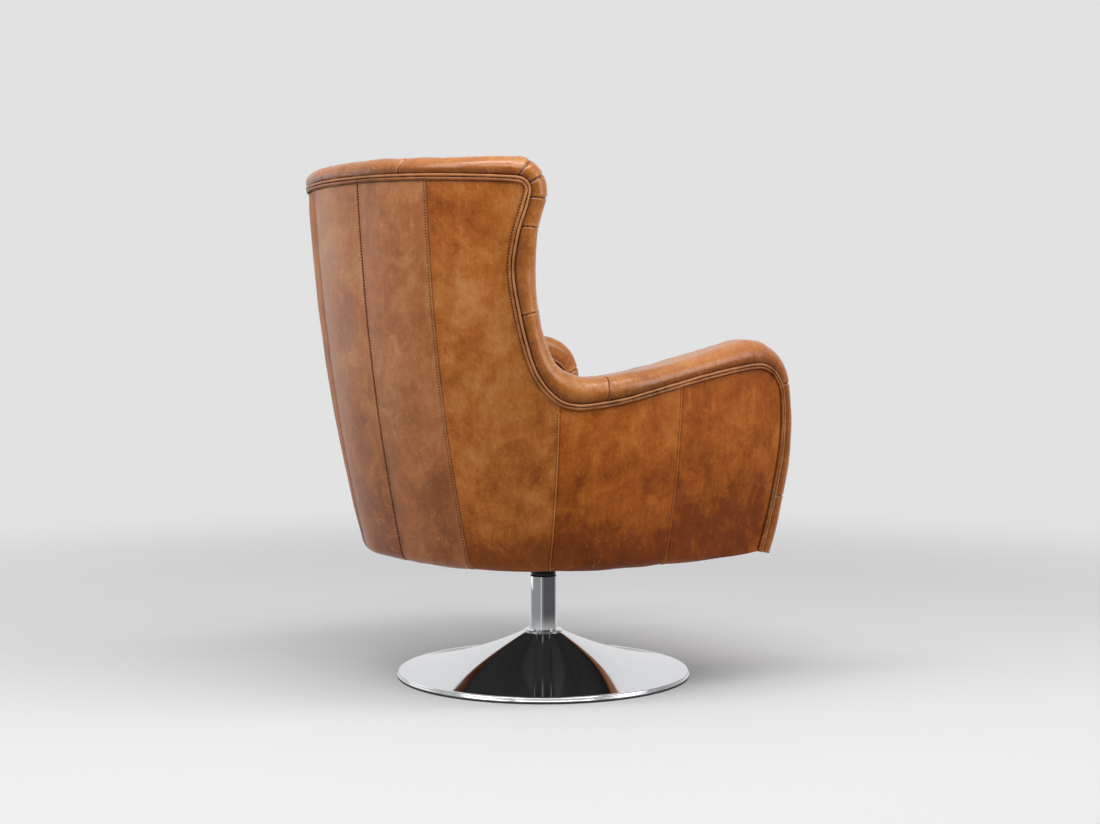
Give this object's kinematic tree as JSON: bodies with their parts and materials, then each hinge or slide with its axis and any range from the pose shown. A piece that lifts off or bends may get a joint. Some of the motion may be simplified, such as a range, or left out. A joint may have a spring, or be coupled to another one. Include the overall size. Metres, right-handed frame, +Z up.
{
  "type": "swivel armchair",
  "caption": "Leather tub armchair with curved wings, rolled and piped rim and a loose seat cushion, swivelling on a round chromed trumpet base.",
  "frame": {"origin": "on the floor at the swivel's axis, at the centre of the base's underside", "axes": "+Z up along the swivel axis, -Y the way the sitter faces, +X to the sitter's left"},
  "size_m": [0.7212, 0.7186, 0.9269],
  "materials": {
    "floor_pad": "matt black moulded pad",
    "ballast_steel": "black painted steel plate",
    "chrome": "polished chrome plate",
    "steel": "zinc plated",
    "bearing_steel": "ground and oiled",
    "bush_plastic": "moulded nylon",
    "cage_brass": "stamped brass",
    "black_sleeve": "satin black",
    "plate_black": "black powder coat",
    "beech": "planed, unfinished",
    "plywood": "moulded plywood, unfinished",
    "spring_steel": "oil tempered wire",
    "deck_cloth": "black non-woven cloth",
    "foam": "cut upholstery foam",
    "welt_leather": "waxed pull-up leather over cord",
    "cushion_leather": "waxed pull-up leather",
    "inner_leather": "waxed pull-up leather",
    "roll_leather": "waxed pull-up leather",
    "outer_leather": "waxed pull-up leather, clouded and lightly scratched"
  },
  "bodies": {
    "base": {"floor_pad": "floor_pad", "ballast_plate": "ballast_steel", "trumpet_base": "chrome", "trumpet_collar": "chrome", "column_tube": "chrome", "column_plug": "steel", "base_bolt": "steel", "lower_bush": "bush_plastic", "upper_bush": "bush_plastic", "lower_race": "bearing_steel"},
    "bearing_cage": {"ball_cage": "cage_brass", "bearing_balls": "bearing_steel"},
    "seat": {"spindle": "steel", "upper_race": "bearing_steel", "spindle_clip": "steel", "spindle_sleeve": "black_sleeve", "swivel_plate": "plate_black", "plate_bolts": "steel", "tee_nuts": "steel", "bearers": "beech", "tub_base_rail": "beech", "front_rail": "beech", "rear_rail": "beech", "corner_blocks": "beech", "frame_posts": "beech", "rim_rails": "beech", "rear_board": "plywood", "side_board_left": "plywood", "side_board_right": "plywood", "seat_springs": "spring_steel", "seat_deck": "deck_cloth", "dust_cover": "deck_cloth", "back_foam": "foam", "side_foam_left": "foam", "side_foam_right": "foam", "front_foam": "foam", "cushion_foam": "foam", "cushion_top": "cushion_leather", "cushion_border": "cushion_leather", "cushion_bottom": "cushion_leather", "cushion_welts": "welt_leather", "front_cover": "cushion_leather", "inner_back": "inner_leather", "inner_side_left": "inner_leather", "inner_side_right": "inner_leather", "rear_panel_left": "outer_leather", "rear_panel_right": "outer_leather", "wing_panel_left": "outer_leather", "wing_panel_right": "outer_leather", "side_panel_left": "outer_leather", "side_panel_right": "outer_leather", "arm_panel_left": "outer_leather", "arm_panel_right": "outer_leather", "facing_top": "roll_leather", "facing_wing_left": "roll_leather", "facing_wing_right": "roll_leather", "facing_arm_left": "roll_leather", "facing_arm_right": "roll_leather", "outer_welts": "welt_leather", "inner_welt": "welt_leather"}
  },
  "joints": [
    {"name": "swivel", "type": "hinge", "parent": "base", "child": "seat", "pos_m": [0, 0, 0.2], "axis": [0, 0, 1], "continuous": true},
    {"name": "cage_turn", "type": "hinge", "parent": "base", "child": "bearing_cage", "pos_m": [0, 0, 0.07], "axis": [0, 0, 1], "continuous": true}
  ],
  "couplings": [
    {"joint": "cage_turn", "follows": "swivel", "ratio": 0.5}
  ]
}
